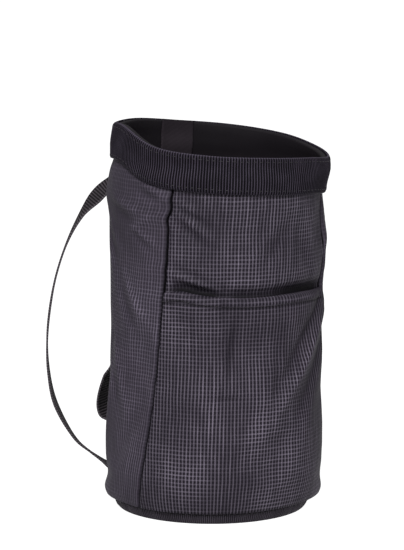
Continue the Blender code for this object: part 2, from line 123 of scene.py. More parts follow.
# Finer creases of the cloth, and two foot corners that bulge: bearing in degrees, height, length and width
# in millimetres, slant in degrees from upright, depth in millimetres
CREASES = (
    (-56, 168, 9, 2.6, 62, 0.54), (-61, 163, 9, 2.4, 70, -0.54), (-68, 157, 11, 2.6, 58, 0.98),
    (-40, 166, 8, 1.8, -58, 0.81), (-36, 161, 9, 2.2, -62, -0.98), (33, 86, 30, 3, 39, 1.7),
    (42, 80, 26, 4.2, 37, -1.5), (-73, 116, 20, 2.6, -40, 1.38), (-79, 109, 20, 3.6, -40, -1.5),
    (-100, 64, 18, 4, 22, 0.98), (-78, 46, 16, 3.6, 30, -0.98), (-20, 117, 13, 1.7, 0, -0.9),
    (-17, 92, 20, 3.4, 3, -0.98), (12, 40, 26, 5, 4, -0.9), (-24, 66, 22, 5, 6, 0.81),
    (28, 140, 16, 4.2, -26, -0.98), (72, 7.5, 6.5, 24, 0, 3), (-114, 8.5, 6.5, 24, 0, 2.5),
    (100, 120, 22, 5, 24, 1.3), (150, 90, 24, 6, -20, -1.46), (-160, 60, 24, 6, 18, -1.3),
    (120, 60, 22, 6, -30, 1.3), (-98, 132, 22, 4, -30, 1.12), (-37, 157, 11, 1.8, -55, 0.88),
    (-38.5, 153.5, 11, 2.2, -52, -1), (-34, 127, 14, 1.8, -72, 1), (-36, 131, 14, 2.4, -68, -0.88),
    (8.5, 72, 34, 2.4, 4, -0.88), (40, 108, 18, 2.4, 40, -1), (56, 150, 16, 2.4, 30, 1),
    (-108, 82, 20, 3, 30, -1), (-60, 174.5, 10, 1.8, -69, 1), (-62, 170.5, 10, 2, -69, -1.2),
    (-16, 92, 22, 1.6, 8, -0.9), (-18, 67, 9, 1.6, 90, -0.9), (25, 91, 28, 3.4, 37, -1.2),
    (-80, 165, 14, 2.2, -75, 0.9), (-84, 160, 14, 2.6, -70, -1), (-95, 150, 16, 2.6, -45, 0.9),
    (-101, 144, 16, 3, -45, -0.9), (-66, 150, 10, 1.8, -60, 0.8), (-68, 147, 10, 2, -60, -0.9),
    (-30, 168, 9, 1.8, -30, 0.6), (-24, 165, 9, 2, -20, -0.6), (-88, 78, 22, 2.6, -20, 0.9),
    (-94, 70, 20, 3.2, -20, -0.9), (2, 150, 14, 2.4, 35, 0.6), (8, 146, 14, 2.6, 35, -0.7),
)

# Patches of light and shade painted on the cloth: bearing and spread in degrees, height and rise in
# millimetres, and how much lighter
PAINTED_TONES = (
    (-90, 30, 162, 28, -0.62), (72, 24, 8, 7, -0.4), (-114, 24, 9, 7, -0.36), (-96, 13, 96, 34, -0.16),
    (-76, 24, 26, 26, 0.16), (46, 20, 150, 24, -0.3), (-86, 14, 147, 9, -0.22), (36, 22, 26, 26, -0.16),
    (34, 14, 70, 26, -0.1), (-14, 12, 94, 16, -0.16), (-30, 10, 60, 30, 0.12), (0, 16, 48, 22, 0.08),
)

# The side seams by height: share of BAG_HEIGHT, degrees from the pocket's middle
SEAM = (
    (0, 69), (0.1, 65.2), (0.22, 60.7), (0.36, 57.4), (0.6, 53.3), (0.76, 51.1), (0.84, 50.7),
    (0.9, 49.4), (1.06, 47.5),
)

# The pocket's top edge: degrees, share of POCKET_TOP
POCKET_EDGE = (
    (-180, 1.004), (-100, 1.012), (-54, 1.014), (-43, 1.027), (-34, 1.015), (-16, 1), (0, 0.998),
    (22, 1.002), (54, 0.993), (100, 0.996), (180, 1.004),
)

# How far the pocket's mouth stands off: share of its half width, share of POCKET_GAPE
MOUTH_GAPE = (
    (-1, 0), (-0.82, 0.55), (-0.62, 1), (-0.35, 0.6), (0, 0.35), (0.45, 0.75), (0.8, 0.6), (1, 0),
)

# The strap, evenly along it: share of STRAP_REACH, share of its height, share of STRAP_SWING, twist in
# degrees
STRAP_ROUTE = (
    (0, 1, 0, 0), (0.11, 0.956, 0.35, 16), (0.315, 0.905, 0.8, 18), (0.534, 0.842, 1, 2),
    (0.717, 0.758, 1, -2.6), (0.863, 0.653, 1, -2.2), (0.947, 0.546, 1, -0.6), (0.983, 0.44, 1, -0.3),
    (0.96, 0.335, 1, -1.1), (0.859, 0.229, 1, -1.7), (0.607, 0.122, 1, 3.4), (0.372, 0.068, 0.9, 10.3),
    (0.11, 0.021, 0.4, 12), (0, 0, 0, 0),
)

# The brush loop, evenly along it: share of LOOP_REACH, share of its height, swing, twist
LOOP_ROUTE = (
    (0, 1, 0, 0), (0.3, 0.87, 0, 0), (0.62, 0.7, 0, 0), (0.88, 0.51, 0, 0), (1, 0.345, 0, 0),
    (0.95, 0.22, 0, 0), (0.74, 0.12, 0, 0), (0.38, 0.068, 0, 0), (0.1, 0.04, 0, 0), (0, 0, 0, 0),
)

# The binding's profile from its foot: share of BINDING_HEIGHT, share of BINDING_WALL inside the shell's
# outside, share of BINDING_TUCK
BINDING_PROFILE = (
    (0.06, 0.56, 1), (0.24, 0.46, 0.72), (0.5, 0.42, 0.42), (0.76, 0.42, 0.18), (1, 0.5, 0),
)

# The wall's tables end at this share of BAG_HEIGHT
WALL_TOP = 1.06

# Puckers of the side seams: height and spread in metres, degrees
SEAM_KINKS = ((0.1655, 0.0040, 1.1), (0.1590, 0.0036, -0.9))

# A panel's edges are drawn down into the seam: how deep, and over what width. The shade painted into their
# colour reaches as far as EDGE_SHADE, and ROLL_SHADE under the back panel's rolled edges.
EDGE_SUNK = 0.0010
EDGE_SUNK_WIDTH = 0.0011
EDGE_SHADE = 0.0009
ROLL_SHADE = 0.0002

# The turn that the back panel's weave is laid out over
BACK_TURN = 242.0

# The front dips in just above the pocket's mouth, fading out between two bearings at its ends, and less
# where the mouth is pinched. The painted shade in the dip rises higher at one side.
MOUTH_DIP = 0.0030
MOUTH_DIP_RISE = 0.0030
MOUTH_ENDS = (44.0, 54.0)
PINCH_BEARING = -20.0
PINCH_SPREAD = 5.0
MOUTH_SHADE_RISE = 0.0026
HIGH_SHADE_BEARING = 30.0
HIGH_SHADE_SPREAD = 20.0

# Painted light and shade on the creases: how much lighter the cloth is painted for each millimetre that a
# crease stands out, and darker where one sinks in, and the most that counts
CREASE_PAINTED_LIGHT = 0.34
CREASE_MOST = 1.3

# The hem's stitched line: how far above its lower edge, how deep it is drawn in and over what width
HEM_LINE = 0.0006
HEM_DIMPLE = 0.00035
HEM_DIMPLE_WIDTH = 0.0007

# The sack's cloth is let settle as a coarse grid with some slack: its columns and rows, the frames, the
# slack as a share, how many times real size it is worked at, the share of the movement that is kept, and
# the most of it. It is held at its foot, at the side seams and below the band, easing off over the lengths
# given.
SETTLE_COLUMNS = 144
SETTLE_ROWS = 84
SETTLE_FRAMES = 20
SETTLE_SLACK = 0.006
SETTLE_SCALE = 10.0
SETTLE_KEPT = 0.75
SETTLE_MOST = 0.0015
FOOT_HOLD = 0.0060
SEAM_HOLD = 0.0030
BAND_HOLD = 0.0030
CLOTH = {
    "quality": 6,
    "mass": 0.2,
    "tension_stiffness": 20.0,
    "compression_stiffness": 20.0,
    "shear_stiffness": 8.0,
    "bending_stiffness": 1.5,
    "shrink_min": -SETTLE_SLACK,
    "vertex_group_mass": "held",
}

# How far the lining's lip lies below the rim webbing's edge
LIP_DROP = 0.0007

# Weave and webbing
CELL_ROUND = 0.00184
CELL_UP = 0.00215
RIB_PITCH = 0.00142
RIB_HEIGHT = 0.00034
RIB_COLUMNS = 6
STRAP_RIB_PITCH = 0.00150
STRAP_RIB_HEIGHT = RIB_HEIGHT * 0.45

# Where the columns and rows of the webbing lie, closer together at the selvedges
BAND_ROWS = (0.0, 0.006, 0.02, 0.045, 0.08, 0.16, 0.28, 0.40, 0.52, 0.64, 0.76, 0.86, 0.92, 0.955, 0.98)
BAND_ROWS += (0.994, 1.0)
WEBBING_COLUMNS = (0.0, 0.012, 0.04, 0.09, 0.2, 0.35, 0.5, 0.65, 0.8, 0.91, 0.96, 0.988, 1.0)

# Stitches: length, gap and half the thread's thickness
RIM_STITCH = (0.0024, 0.0011, 0.00026)
HEM_STITCH = (0.0022, 0.0008, 0.00020)
TACK_STITCH = (0.0020, 0.0004, 0.00028)
BASE_STITCH = (0.0022, 0.0010, 0.00022)
RIM_STITCH_INSET = 0.0022
BASE_ROW = 0.86


def curve(table, at, column=1):
    """A smooth curve through one column of a table, read at values of its first column."""
    xs, ys = (np.array([row[c] for row in table]) for c in (0, column))
    last = len(xs) - 1
    at = np.clip(at, xs[0], xs[last])
    low = np.maximum(np.arange(last + 1) - 1, 0)
    high = np.minimum(np.arange(last + 1) + 1, last)
    slopes = (ys[high] - ys[low]) / (xs[high] - xs[low])
    k = np.searchsorted(xs[1:], at, "left")
    span = xs[k + 1] - xs[k]
    t = (at - xs[k]) / span
    rise = ys[k + 1] - ys[k]
    leave, arrive = slopes[k] * span, slopes[k + 1] * span
    return ys[k] + t * (leave + t * (3 * rise - 2 * leave - arrive + t * (leave + arrive - 2 * rise)))


def evenly(table, share):
    """The columns of a table with evenly spaced rows, read smoothly at shares of the way down it."""
    rows = np.array(table)
    last = len(rows) - 1
    at = last * np.clip(share, 0.0, 1.0)
    k = np.minimum(at.astype(int), last - 1)
    t = (at - k)[:, None]
    a, b, c, d = (rows[np.clip(k + step, 0, last)] for step in (-1, 0, 1, 2))
    return 0.5 * (2 * b + t * (c - a + t * (2 * a - 5 * b + 4 * c - d + t * (3 * b - a - 3 * c + d))))


def fade(value, low, high):
    """Zero at low and one at high, eased at both ends."""
    t = np.clip((value - low) / (high - low), 0.0, 1.0)
    return t * t * (3.0 - 2.0 * t)


def bell(distance, spread):
    return np.exp(-((distance / spread) ** 2))


def around(bearing):
    return (bearing + 180.0) % 360.0 - 180.0


def all_round(count):
    """Bearings evenly round the bag."""
    return 360.0 * np.arange(count) / count - 180.0


def arc(turn):
    """The length of a turn along the bag's wall."""
    return np.radians(turn) * BAG_RADIUS


def degrees_of(length):
    return np.degrees(length / BAG_RADIUS)


def direction(bearing):
    """Level unit vectors that point at bearings."""
    angle = np.radians(bearing)
    return np.stack([np.sin(angle), -np.cos(angle), np.zeros_like(angle)], -1)


def mouth_sag(bearing):
    """How strongly the front sags behind the pocket's mouth, by bearing."""
    bearing = around(bearing)
    pinch = 1.0 - 0.55 * bell(bearing - PINCH_BEARING, PINCH_SPREAD)
    open_there = 0.4 + 0.6 * curve(MOUTH_GAPE, bearing / MOUTH_ENDS[1])
    return pinch * open_there * (1.0 - fade(np.abs(bearing), *MOUTH_ENDS))


def creases(bearing, height):
    """The finer relief of the cloth, in metres."""
    relief = np.zeros(np.broadcast(bearing, height).shape)
    for at, high, length, width, slant, depth in CREASES:
        round_by = arc(around(bearing - at)) * 1000.0
        up_by = height * 1000.0 - high
        along = up_by * cos(radians(slant)) + round_by * sin(radians(slant))
        across = round_by * cos(radians(slant)) - up_by * sin(radians(slant))
        relief += depth * np.exp(-((along / length) ** 2) - (across / width) ** 2)
    above = (height - pocket_edge(bearing)) / MOUTH_DIP_RISE - 0.6
    return relief / 1000.0 - MOUTH_DIP * mouth_sag(bearing) * np.exp(-above * above)


def smooth_wall(bearing, height):
    """The shell's outside before its cloth settles, from the bag's own axis at that height."""
    share = height / BAG_HEIGHT
    radius = curve(GIRTH, share)
    for fold_bearing, spread, fold_height, rise, depth in FOLDS:
        turn = around(bearing - fold_bearing) / spread
        lift = (share - fold_height) / rise
        radius = radius + depth * np.exp(-turn * turn - lift * lift)
    return BAG_RADIUS * radius + creases(bearing, height)


def wall(bearing, height):
    """The shell's outside, from the bag's own axis at that height."""
    column = around(bearing) / 360.0 * SETTLE_COLUMNS + SETTLE_COLUMNS / 2.0
    row = np.clip(height / (BAG_HEIGHT * WALL_TOP), 0.0, 1.0) * (SETTLE_ROWS - 1)
    column, row = np.broadcast_arrays(column, row)
    left, below = np.floor(column).astype(int), np.minimum(row.astype(int), SETTLE_ROWS - 2)
    across, up = column - left, row - below
    left, right = left % SETTLE_COLUMNS, (left + 1) % SETTLE_COLUMNS
    low = SETTLED[below, left] * (1.0 - across) + SETTLED[below, right] * across
    high = SETTLED[below + 1, left] * (1.0 - across) + SETTLED[below + 1, right] * across
    return smooth_wall(bearing, height) + low * (1.0 - up) + high * up


def place(bearing, radius, height):
    """Points at a radius from the bag's axis, which leans a little towards LEAN_BEARING."""
    bearing, radius, height = np.broadcast_arrays(bearing, radius, height)
    lean = MOUTH_LEAN * curve(GIRTH, height / BAG_HEIGHT, 2)
    points = direction(np.float64(LEAN_BEARING)) * lean[..., None] + direction(bearing) * radius[..., None]
    points[..., 2] += height
    return points


def rim(bearing):
    return BAG_HEIGHT * curve(RIM, around(bearing))


def pocket_edge(bearing):
    return POCKET_TOP * curve(POCKET_EDGE, around(bearing))


def level(stage, bearing):
    """Heights by stage: 0 at the base seam, 1 at the pocket's edge, 2 at the band's foot, 3 at the top."""
    marks = np.stack([
        np.full_like(bearing, BINDING_HEIGHT + GAP),
        pocket_edge(bearing),
        rim(bearing) - BAND_WIDTH,
        rim(bearing) - LINING_WALL - GAP,
    ])
    k = np.clip(np.floor(stage), 0, 2).astype(int)
    t = stage - k
    columns = np.arange(bearing.size).reshape(bearing.shape)
    flat = marks.reshape(4, -1)
    return flat[k, columns] * (1.0 - t) + flat[k + 1, columns] * t


def seam(stages, side):
    """The bearings where rows of the shell meet the left (-1) or the right (1) seam."""
    bearing = np.zeros_like(stages)
    for _ in range(8):
        height = level(stages, bearing)
        bearing = side * curve(SEAM, height / BAG_HEIGHT)
    kink = sum(turn * bell(height - at, spread) for at, spread, turn in SEAM_KINKS)
    pucker = 0.10 * np.sin(height * 410.0) + 0.08 * np.sin(height * 730.0 + 1.0)
    return bearing + pucker + (kink if side < 0 else 0.5 * kink)


def stages(*stretches):
    """Rows of the shell from (from stage, to stage, count) stretches."""
    rows = [np.linspace(low, high, count, endpoint=False) for low, high, count in stretches]
    return np.concatenate([*rows, [stretches[-1][1]]])


def rounded(distance, radius, least=0.2):
    """How full a folded edge is at a distance from it."""
    t = np.clip(distance / radius, 0.0, 1.0)
    return least + (1.0 - least) * np.sqrt(1.0 - (1.0 - t) ** 2)


# Meshes


def add_object(name, data):
    made = bpy.data.objects.new(name, data)
    bpy.context.scene.collection.objects.link(made)
    return made


def grid_faces(rows, columns):
    """Faces of a grid of points, seen anticlockwise from outside."""
    corner = (np.arange(rows - 1)[:, None] * columns + np.arange(columns - 1)).ravel()
    return np.stack([corner, corner + 1, corner + columns + 1, corner + columns], 1)


def cloth_map(u, v):
    """A UV map from the two directions of a grid."""
    return np.stack(np.broadcast_arrays(u, v), -1)


def solid(name, outer, inner, uv, ring=False):
    """A closed layer of cloth between an outer and an inner grid, with a UV map in metres.

    A ring's last column of uv closes it, so uv has one column more than the points.
    """
    rows, columns = outer.shape[:2]
    wide = columns + 1 if ring else columns
    count = rows * wide
    faces = grid_faces(rows, wide)
    parts = [faces, faces[:, ::-1] + count]
    foot = np.arange(wide - 1)
    top = foot + (rows - 1) * wide
    parts.append(np.stack([foot + count, foot + 1 + count, foot + 1, foot], 1))
    parts.append(np.stack([top, top + 1, top + 1 + count, top + count], 1))
    if not ring:
        left = np.arange(rows - 1) * wide
        right = left + wide - 1
        parts.append(np.stack([left, left + wide, left + wide + count, left + count], 1))
        parts.append(np.stack([right + count, right + wide + count, right + wide, right], 1))
    faces = np.concatenate(parts)
    uvs = np.concatenate([uv.reshape(-1, 2)] * 2)
    points = np.concatenate([outer.reshape(-1, 3), inner.reshape(-1, 3)])
    real = faces
    if ring:
        side, rest = np.divmod(faces, count)
        row, column = np.divmod(rest, wide)
        real = side * rows * columns + row * columns + column % columns
    data = bpy.data.meshes.new(name)
    data.from_pydata(points.tolist(), [], real.tolist())
    layer = data.uv_layers.new(name="cloth")
    layer.data.foreach_set("uv", uvs[faces.ravel()].astype(np.float32).ravel())
    data.shade_smooth()
    return add_object(name, data)


def crisp(piece, angle=55.0):
    piece.data.set_sharp_from_angle(angle=radians(angle))
    return piece


def finish_piece(piece, material, node):
    """Gives a piece its material and body, and hides the CAD part that it stands for."""
    if material is not None:
        piece.data.materials.clear()
        piece.data.materials.append(material)
    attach(piece, "root")
    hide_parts(node)


# The settling of the cloth


def held_cloth(bearing, height):
    """How firmly the sack's cloth is held, 0 to 1: at the base seam, the side seams and behind the band."""
    foot = 1.0 - fade(height, BINDING_HEIGHT, BINDING_HEIGHT + FOOT_HOLD)
    band_foot = rim(bearing) - BAND_WIDTH
    beside = bell(arc(np.abs(around(bearing)) - curve(SEAM, height / BAG_HEIGHT)), SEAM_HOLD)
    return np.maximum(np.maximum(foot, fade(height, band_foot - BAND_HOLD, band_foot)), beside)


def settle_cloth():
    """How far the sack's slack cloth moves out at each point of a coarse grid, by cloth simulation."""
    bearing = all_round(SETTLE_COLUMNS)
    height = np.linspace(0.0, BAG_HEIGHT * WALL_TOP, SETTLE_ROWS)[:, None] + 0.0 * bearing
    bearing = np.broadcast_to(bearing, height.shape)
    radius = smooth_wall(bearing, height)
    start = place(bearing, radius, height).reshape(-1, 3) * SETTLE_SCALE
    faces = grid_faces(SETTLE_ROWS, SETTLE_COLUMNS + 1)
    row, column = np.divmod(faces, SETTLE_COLUMNS + 1)
    data = bpy.data.meshes.new("settling")
    data.from_pydata(start.tolist(), [], (row * SETTLE_COLUMNS + column % SETTLE_COLUMNS).tolist())
    sack = add_object("settling", data)
    held = sack.vertex_groups.new(name="held")
    for index, weight in enumerate(held_cloth(bearing, height).ravel()):
        held.add([index], float(weight), "REPLACE")
    cloth = sack.modifiers.new("settling", "CLOTH")
    for key, value in CLOTH.items():
        setattr(cloth.settings, key, value)
    cloth.settings.effector_weights.gravity = 0.25
    cloth.collision_settings.use_collision = False
    cloth.collision_settings.use_self_collision = False
    cloth.point_cache.frame_start = 1
    cloth.point_cache.frame_end = SETTLE_FRAMES
    scene = bpy.context.scene
    for number in range(1, SETTLE_FRAMES + 1):
        scene.frame_set(number)
    graph = bpy.context.evaluated_depsgraph_get()
    settled = sack.evaluated_get(graph).to_mesh()
    points = np.empty(len(settled.vertices) * 3, np.float32)
    settled.vertices.foreach_get("co", points)
    bpy.data.objects.remove(sack)
    scene.frame_set(1)
    points = points.reshape(*height.shape, 3).astype(float) / SETTLE_SCALE
    spot = points - place(0.0, 0.0, points[..., 2])
    moved = np.hypot(spot[..., 0], spot[..., 1]) - radius
    for _ in range(2):
        moved = (np.roll(moved, 1, 1) + 2.0 * moved + np.roll(moved, -1, 1)) / 4.0
        moved[1:-1] = (moved[:-2] + 2.0 * moved[1:-1] + moved[2:]) / 4.0
    return SETTLE_MOST * np.tanh(SETTLE_KEPT * moved / SETTLE_MOST)


# Node trees


def node(tree, kind, feeds=(), **settings):
    """Adds a node, sets it up and feeds its inputs, by order or by name, with links or values."""
    made = tree.nodes.new(kind)
    for key, value in settings.items():
        setattr(made, key, value)
    pairs = feeds.items() if isinstance(feeds, dict) else enumerate(feeds)
    for key, value in pairs:
        if value is None:
            continue
        if isinstance(value, bpy.types.NodeSocket):
            tree.links.new(value, made.inputs[key])
        else:
            made.inputs[key].default_value = value
    return made


def sums(tree, operation, *feeds, clamp=False):
    return node(tree, "ShaderNodeMath", feeds, operation=operation, use_clamp=clamp).outputs[0]


def times(tree, first, second, clamp=False):
    return sums(tree, "MULTIPLY", first, second, clamp=clamp)


def geometry_tree(name, inputs):
    """An empty geometry tree with a Geometry input, named size inputs and a Material input."""
    tree = bpy.data.node_groups.new(name, "GeometryNodeTree")
    tree.interface.new_socket("Geometry", in_out="OUTPUT", socket_type="NodeSocketGeometry")
    tree.interface.new_socket("Geometry", in_out="INPUT", socket_type="NodeSocketGeometry")
    for label, kind in inputs:
        tree.interface.new_socket(label, in_out="INPUT", socket_type=kind)
    tree.interface.new_socket("Material", in_out="INPUT", socket_type="NodeSocketMaterial")
    return tree, tree.nodes.new("NodeGroupInput").outputs


def end_tree(tree, geometry, material):
    """Ends a tree in real, smooth geometry with its material."""
    real = node(tree, "GeometryNodeRealizeInstances", [geometry]).outputs[0]
    smooth = node(tree, "GeometryNodeSetShadeSmooth", [real]).outputs[0]
    made = node(tree, "GeometryNodeSetMaterial", {"Geometry": smooth, "Material": material}).outputs[0]
    node(tree, "NodeGroupOutput", [made])
    return tree


def run_tree(source, tree, **sizes):
    """Runs a tree on an object and keeps the result as a plain mesh in its place."""
    modifier = source.modifiers.new(tree.name, "NODES")
    modifier.node_group = tree
    for item in tree.interface.items_tree:
        if item.in_out == "INPUT" and item.name in sizes:
            modifier[item.identifier] = sizes[item.name]
    graph = bpy.context.evaluated_depsgraph_get()
    data = bpy.data.meshes.new_from_object(source.evaluated_get(graph), depsgraph=graph)
    name = source.name
    bpy.data.objects.remove(source)
    data.name = name
    return add_object(name, data)


def ribs_tree():
    """Raises the cross ribs of webbing, which run across it at an even pitch."""
    sizes = [(label, "NodeSocketFloat") for label in ("Pitch", "Height")]
    tree, given = geometry_tree("webbing_ribs", sizes)
    along, rise = (
        node(tree, "GeometryNodeInputNamedAttribute", [name], data_type="FLOAT").outputs[0]
        for name in ("along", "rise")
    )
    turns = times(tree, sums(tree, "DIVIDE", along, given["Pitch"]), 2.0 * pi)
    swell = sums(tree, "MULTIPLY_ADD", sums(tree, "COSINE", turns), 0.5, 0.5)
    crown = times(tree, sums(tree, "POWER", swell, 0.7), rise)
    lift = times(tree, crown, given["Height"])
    normal = node(tree, "GeometryNodeInputNormal").outputs[0]
    offset = node(tree, "ShaderNodeVectorMath", {0: normal, "Scale": lift}, operation="SCALE").outputs[0]
    moved = node(tree, "GeometryNodeSetPosition", {"Geometry": given["Geometry"], "Offset": offset})
    return end_tree(tree, moved.outputs[0], given["Material"])


def stitch_tree():
    """Lays rounded thread stitches along paths, flat on the cloth."""
    sizes = [(label, "NodeSocketFloat") for label in ("Length", "Gap", "Thread")]
    tree, given = geometry_tree("stitch_row", sizes)
    path = node(tree, "GeometryNodeMeshToCurve", [given["Geometry"]]).outputs[0]
    pitch = sums(tree, "ADD", given["Length"], given["Gap"])
    feeds = {"Curve": path, "Length": pitch}
    spots = node(tree, "GeometryNodeResampleCurve", feeds, mode="LENGTH").outputs[0]
    ball = node(tree, "GeometryNodeMeshUVSphere", {"Segments": 6, "Rings": 5, "Radius": 1.0}).outputs[0]
    half = times(tree, given["Length"], 0.5)
    size = node(tree, "ShaderNodeCombineXYZ", [half, given["Thread"], given["Thread"]]).outputs[0]
    stitch = node(tree, "GeometryNodeTransform", {"Geometry": ball, "Scale": size}).outputs[0]
    tangent = node(tree, "GeometryNodeInputTangent").outputs[0]
    away = node(tree, "GeometryNodeInputNamedAttribute", ["away"], data_type="FLOAT_VECTOR").outputs[0]
    align = "FunctionNodeAlignRotationToVector"
    turned = node(tree, align, {"Vector": tangent}, axis="X").outputs[0]
    flat = node(tree, align, {"Rotation": turned, "Vector": away}, axis="Z", pivot_axis="X").outputs[0]
    feeds = {"Points": spots, "Instance": stitch, "Rotation": flat}
    rows = node(tree, "GeometryNodeInstanceOnPoints", feeds).outputs[0]
    return end_tree(tree, rows, given["Material"])


def set_attribute(piece, name, values):
    """Stores one number or one vector for each point of a mesh."""
    values = np.asarray(values, np.float32)
    kind = "FLOAT_VECTOR" if values.ndim == 2 else "FLOAT"
    layer = piece.data.attributes.new(name, kind, "POINT")
    layer.data.foreach_set("vector" if values.ndim == 2 else "value", values.ravel())


def mark_layer(piece, name, outer, inner=None):
    """Stores a number for each point of a layer's outer face, and of its inner one if that differs."""
    inner = outer if inner is None else inner
    set_attribute(piece, name, np.concatenate([outer.ravel(), inner.ravel()]))


def stitches(name, paths, material, stitch):
    """Rows of stitches along paths of (points, outward vectors)."""
    points, away = (np.concatenate(parts) for parts in zip(*paths))
    edges, start = [], 0
    for path, _ in paths:
        edges += [(start + k, start + k + 1) for k in range(len(path) - 1)]
        start += len(path)
    data = bpy.data.meshes.new(name)
    data.from_pydata(points.tolist(), edges, [])
    source = add_object(name, data)
    set_attribute(source, "away", away)
    length, gap, thread = stitch
    piece = run_tree(source, STITCH_ROW, Length=length, Gap=gap, Thread=thread, Material=material)
    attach(piece, "root")


# Materials


def finish_tree(name, roughness, specular):
    """A new material, its tree and its shader, with the values that are even all over it."""
    material = bpy.data.materials.new(name)
    material.use_nodes = True
    tree = material.node_tree
    shader = tree.nodes["Principled BSDF"]
    shader.inputs["Roughness"].default_value = roughness
    shader.inputs["Specular IOR Level"].default_value = specular
    return material, tree, shader


def blend_colours(tree, share, low, high):
    """A colour between two, by share."""
    mixed = node(tree, "ShaderNodeMix", data_type="RGBA")
    for key, value in ((0, share), (6, low), (7, high)):
        if isinstance(value, bpy.types.NodeSocket):
            tree.links.new(value, mixed.inputs[key])
        else:
            mixed.inputs[key].default_value = (*value, 1.0) if key else value
    return mixed.outputs[2]


def span(tree, value, low, high, to_low=0.0, to_high=1.0):
    """A value eased from one range to another."""
    feeds = {"Value": value, "From Min": low, "From Max": high, "To Min": to_low, "To Max": to_high}
    return node(tree, "ShaderNodeMapRange", feeds, interpolation_type="SMOOTHSTEP").outputs[0]


def noise(tree, where, scale, detail=2.0):
    return node(tree, "ShaderNodeTexNoise", {"Vector": where, "Scale": scale, "Detail": detail}).outputs[0]


def wave(tree, value, pitch):
    """One at each whole pitch along a value in metres, and zero halfway."""
    turns = sums(tree, "COSINE", times(tree, value, 2.0 * pi / pitch))
    return sums(tree, "MULTIPLY_ADD", turns, 0.5, 0.5)


def cloth_places(tree):
    """The cloth's own two directions, and the place in the bag."""
    uv = node(tree, "ShaderNodeUVMap", uv_map="cloth").outputs[0]
    split = node(tree, "ShaderNodeSeparateXYZ", [uv]).outputs
    where = node(tree, "ShaderNodeTexCoord").outputs["Object"]
    return uv, split[0], split[1], where


def streaks(tree, uv, round_scale, up_scale):
    """Noise drawn out along the threads."""
    feeds = {"Vector": uv, "Scale": (round_scale, up_scale, 1.0)}
    return noise(tree, node(tree, "ShaderNodeMapping", feeds).outputs[0], 1.0, 1.0)


def add_bump(tree, shader, height, strength, distance):
    feeds = {"Height": height, "Strength": strength, "Distance": distance}
    tree.links.new(node(tree, "ShaderNodeBump", feeds).outputs[0], shader.inputs["Normal"])


def marked(tree, name):
    """A number that a mesh holds for each point."""
    return node(tree, "ShaderNodeAttribute", attribute_name=name).outputs["Fac"]


def ripstop(name, dark, light, round_share, plain_side):
    """Ripstop cloth: a grid of lighter threads over dark squares, with fine threads between them.

    round_share is how strongly the threads round the bag show, and plain_side what is left of them at its
    right side.
    """
    material, tree, shader = finish_tree(name, 0.62, 0.04)
    uv, u, v, where = cloth_places(tree)
    drift = sums(tree, "MULTIPLY_ADD", noise(tree, where, 55.0), 0.0009, -0.00045)
    u_line = wave(tree, sums(tree, "ADD", u, drift), CELL_ROUND)
    v_line = wave(tree, sums(tree, "SUBTRACT", v, drift), CELL_UP)
    up_worn = span(tree, streaks(tree, uv, 700.0, 45.0), 0.3, 0.7, 0.55, 1.12)
    round_worn = span(tree, streaks(tree, uv, 45.0, 700.0), 0.3, 0.7, 0.5, 1.05)
    stretched = span(tree, noise(tree, where, 17.0, 1.0), 0.38, 0.62, 0.25, 0.95)
    turned_away = span(tree, u, 0.022, 0.044, 1.0, plain_side)
    up_threads = times(tree, span(tree, u_line, 0.42, 0.95), up_worn)
    round_worn = times(tree, round_worn, times(tree, stretched, turned_away))
    round_threads = times(tree, span(tree, v_line, 0.48, 0.97), round_worn)
    grid = sums(tree, "MULTIPLY_ADD", up_threads, 0.58, times(tree, round_threads, round_share))
    patches = span(tree, noise(tree, where, 26.0, 3.0), 0.32, 0.68, 0.62, 1.08)
    up = node(tree, "ShaderNodeSeparateXYZ", [where]).outputs[2]
    # Painted light: lighter low down and darker up high, as if more light came from the floor.
    painted_light_from_below = span(tree, up, 0.02, BAG_HEIGHT, 1.10, 0.90)
    # Painted shade: the cloth is darker in the seams, just above the pocket's mouth and just under its hem.
    painted_tuck_shade = marked(tree, "painted_recess_shade")
    # Painted light and shade: the patches and creases, times the painted light from below.
    painted_lighter = times(tree, sums(tree, "ADD", 1.0, marked(tree, "painted_tone")), painted_light_from_below)
    clear = times(tree, sums(tree, "SUBTRACT", 1.0, painted_tuck_shade), painted_lighter)
    shade = times(tree, grid, times(tree, patches, clear), clamp=True)
    deep = tuple(part * 0.25 for part in dark)
    base = blend_colours(tree, painted_tuck_shade, dark, deep)
    tree.links.new(blend_colours(tree, shade, base, light), shader.inputs["Base Color"])
    fine = times(tree, wave(tree, u, 0.00031), wave(tree, v, 0.00036))
    height = sums(tree, "MULTIPLY_ADD", grid, 0.7, times(tree, fine, 0.45))
    add_bump(tree, shader, height, 0.45, 0.00014)
    return material


